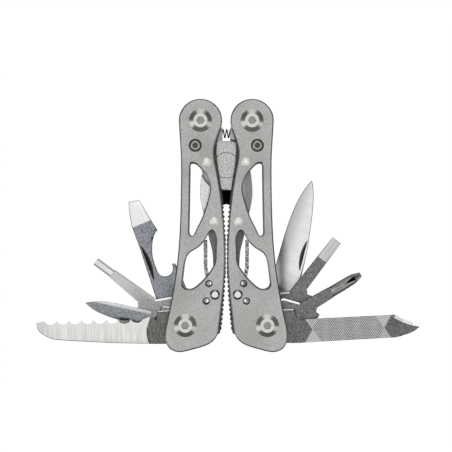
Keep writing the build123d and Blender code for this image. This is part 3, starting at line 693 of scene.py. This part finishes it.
def cut_file():
    """The file with its teeth, in place of the plain CAD file."""
    place = tool_matrix("file")
    low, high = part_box("file")
    half = (high.z - low.z) / 2 / MM
    finish = file_finish()
    for name, x, keep_below in (("file_root", CUT_START, True), ("file_tip", CUT_END, False)):
        shape = joined_shape("file")
        bmesh.ops.transform(shape, matrix=place.inverted(), verts=shape.verts)
        cut_off(shape, x, keep_below)
        bmesh.ops.transform(shape, matrix=place, verts=shape.verts)
        new_piece(name, shape, finish, "file")
    teeth = toothed_middle(half)
    bmesh.ops.transform(teeth, matrix=place, verts=teeth.verts)
    middle = new_piece("file_teeth", teeth, finish, "file")
    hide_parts("file")


def jaw_coil(material):
    """The coil between the jaw tangs, which rides on the front jaw."""
    shape = joined_shape("jaw_spring")
    for face in shape.faces:
        face.smooth = True
    coil = new_piece("jaw_coil", shape, material, "plier_front_jaw")
    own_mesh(coil)
    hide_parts("jaw_spring")


# ---------------------------------------------------------------- the stage

def floor():
    """A plain white floor under the tool, which the metal doesn't mirror."""
    size = 6.0
    mesh = bpy.data.meshes.new("floor")
    mesh.from_pydata([(x * size, y * size, CAD_BOX[0].z - 0.02 * MM)
                      for x, y in ((-1, -1), (1, -1), (1, 1), (-1, 1))], [], [(0, 1, 2, 3)])
    plane = bpy.data.objects.new("floor", mesh)
    bpy.context.scene.collection.objects.link(plane)
    paint = Finish("floor_white", (0.02, 0.02, 0.02), 0.9, metallic=0.0)
    paint.shader.inputs["Emission Color"].default_value = (1, 1, 1, 1)
    paint.shader.inputs["Emission Strength"].default_value = 1.0
    paint.shader.inputs["Specular IOR Level"].default_value = 0.0
    mesh.materials.append(paint.material)
    plane.visible_glossy = False
    plane.visible_diffuse = False


def studio():
    """Soft light: a bright sky overhead, a dark horizon, and three soft cards low down."""
    world = bpy.data.worlds.new("studio")
    bpy.context.scene.world = world
    world.use_nodes = True
    tree = world.node_tree
    tree.nodes.clear()
    out = tree.nodes.new("ShaderNodeOutputWorld")
    back = tree.nodes.new("ShaderNodeBackground")
    tree.links.new(back.outputs[0], out.inputs[0])
    coord = tree.nodes.new("ShaderNodeTexCoord")

    def toward(direction, start, end, amount):
        """Light that fades in as a ray nears a direction."""
        dot = tree.nodes.new("ShaderNodeVectorMath")
        dot.operation = "DOT_PRODUCT"
        tree.links.new(coord.outputs["Generated"], dot.inputs[0])
        dot.inputs[1].default_value = Vector(direction).normalized()
        ramp = tree.nodes.new("ShaderNodeMapRange")
        ramp.interpolation_type = "SMOOTHSTEP"
        tree.links.new(dot.outputs["Value"], ramp.inputs[0])
        for index, value in enumerate((start, end, 0.0, amount), 1):
            ramp.inputs[index].default_value = value
        return ramp.outputs[0]

    total = None
    for light in (toward((0, 0, 1), -1.0, -0.99, 0.10),
                  toward((0, 0, 1), 0.2, 0.86, 0.78),
                  toward((0, 0.88, 0.46), 0.86, 0.95, 1.2),
                  toward((-0.9, -0.32, 0.34), 0.92, 0.98, 1.4),
                  toward((0.9, -0.36, 0.34), 0.94, 0.985, 1.1)):
        if total is None:
            total = light
            continue
        add = tree.nodes.new("ShaderNodeMath")
        add.operation = "ADD"
        tree.links.new(total, add.inputs[0])
        tree.links.new(light, add.inputs[1])
        total = add.outputs[0]
    tree.links.new(total, back.inputs["Strength"])
    back.inputs["Color"].default_value = (1, 0.998, 0.99, 1)


def camera():
    """Straight above the tool, looking down, with +Y up the picture."""
    data = bpy.data.cameras.new("camera")
    data.lens = data.sensor_width * CAMERA_HEIGHT / FRAME_WIDTH
    eye = bpy.data.objects.new("camera", data)
    bpy.context.scene.collection.objects.link(eye)
    middle = (CAD_BOX[0] + CAD_BOX[1]) / 2
    eye.location = (middle.x - 1.2 * MM, middle.y - 0.2 * MM, CAD_BOX[1].z + CAMERA_HEIGHT)
    bpy.context.scene.camera = eye


# ---------------------------------------------------------------- making

def dress_handles():
    """Finishes and edges of both handles."""
    aluminium = blasted_aluminium()
    dark = stamped_steel()
    rivet = pressed_rivet("rivet_steel")
    spring = ribbed_spring()
    washer = plain_steel("washer_steel", (0.4, 0.38, 0.34), (0.6, 0.58, 0.54), 0.3)
    sleeve = plain_steel("sleeve_steel", (0.45, 0.45, 0.45), (0.7, 0.7, 0.7), 0.2)
    # Each look is the socket's radius, the face's colour, the cone's colour painted darker as
    # shade, and the socket's colour painted darker as shade.
    bolt = (1.62, (0.78, 0.78, 0.77), (0.44, 0.42, 0.4), (0.34, 0.335, 0.33))
    screws = {"jaw_axle_bolts": bolt, "tool_axle_bolts": bolt,
              "spring_pin": (0.0, (0.97, 0.97, 0.96), (0.2, 0.2, 0.2), (0.3, 0.3, 0.3)),
              "spacer_screws": (0.95, (0.44, 0.41, 0.385), (0.34, 0.315, 0.29),
                                (0.09, 0.083, 0.077))}
    for side in SIDES:
        for face in ("front", "back"):
            finish_node(f"{side}_{face}_plate", aluminium)
            soften(f"{side}_{face}_plate", PLATE_WEAR)
            finish_node(f"{side}_{face}_liner", dark)
            soften(f"{side}_{face}_liner", LINER_WEAR)
        for name, paint in (("plate_rivets", rivet), ("tool_spring", spring),
                            ("spacer_post", sleeve), ("jaw_axle", sleeve), ("tool_axle", sleeve),
                            ("tool_washers", washer)):
            finish_node(f"{side}_{name}", paint)
        for name, look in screws.items():
            node = f"{side}_{name}"
            finish_node(node, turned_screw(f"{node}_steel", middle_of(node) / MM, *look))
            soften(node, SCREW_WEAR)


def dress_tools():
    """Finishes and edges of the eight tools."""
    blue = ((0.2, 0.212, 0.232), (0.33, 0.345, 0.37))
    grey = ((0.12, 0.12, 0.122), (0.24, 0.24, 0.242))
    white = ((0.86, 0.86, 0.86), (1.0, 1.0, 1.0))
    silver = ((0.5, 0.5, 0.5), (0.72, 0.72, 0.72))
    shiny = ((0.16, 0.155, 0.15), (0.6, 0.59, 0.57))
    finishes = {
        "serrated_blade": serrated_finish(),
        "awl": tool_finish("awl", *blue, bevel_highlight=0.35),
        "hex_driver": hex_finish(),
        "can_opener": tool_finish("can_opener", *blue, white, groove=OPENER_GROOVE),
        "phillips_driver": tool_finish("phillips_driver", *grey, shiny, grain=(0.05, 0.6, 0.6)),
        "flat_driver": tool_finish("flat_driver", *grey, silver),
        "knife": knife_finish(),
    }
    # Painted shade: the dark rims round the tools' faces.
    rim = plain_steel("rim_shade_steel", (0.04, 0.04, 0.04), (0.1, 0.1, 0.1), 0.4)
    for tool, paint in finishes.items():
        if tool in ("awl", "hex_driver"):
            finish_node(tool, paint)
            soften(tool, TOOL_WEAR)
        elif tool == "serrated_blade":
            edged_tool(tool, paint, rim, BLADE_RIM_TOP)
        else:
            edged_tool(tool, paint, rim)
    cut_file()


def dress_plier_head():
    """Finishes of the two jaws, their rivet and the coil."""
    boss = ((0.34, 0.34, 0.34), (0.84, 0.84, 0.83))
    pale = ((0.72, 0.72, 0.72), (1.0, 1.0, 1.0))
    finish_node("front_jaw", cast_jaw("front_jaw_steel", *boss, 2.0))
    finish_node("rear_jaw", cast_jaw("rear_jaw_steel", *pale, 1.4, 0.02))
    finish_node("plier_rivet", cast_jaw("plier_rivet_steel", *boss, 2.0))
    jaw_coil(plain_steel("coil_steel", (0.03, 0.03, 0.03), (0.12, 0.12, 0.12), 0.25))
    for node in ("front_jaw", "rear_jaw", "plier_rivet"):
        soften(node, JAW_WEAR)


dress_handles()
dress_tools()
dress_plier_head()
floor()
studio()
camera()
bpy.context.scene.view_settings.view_transform = "Standard"
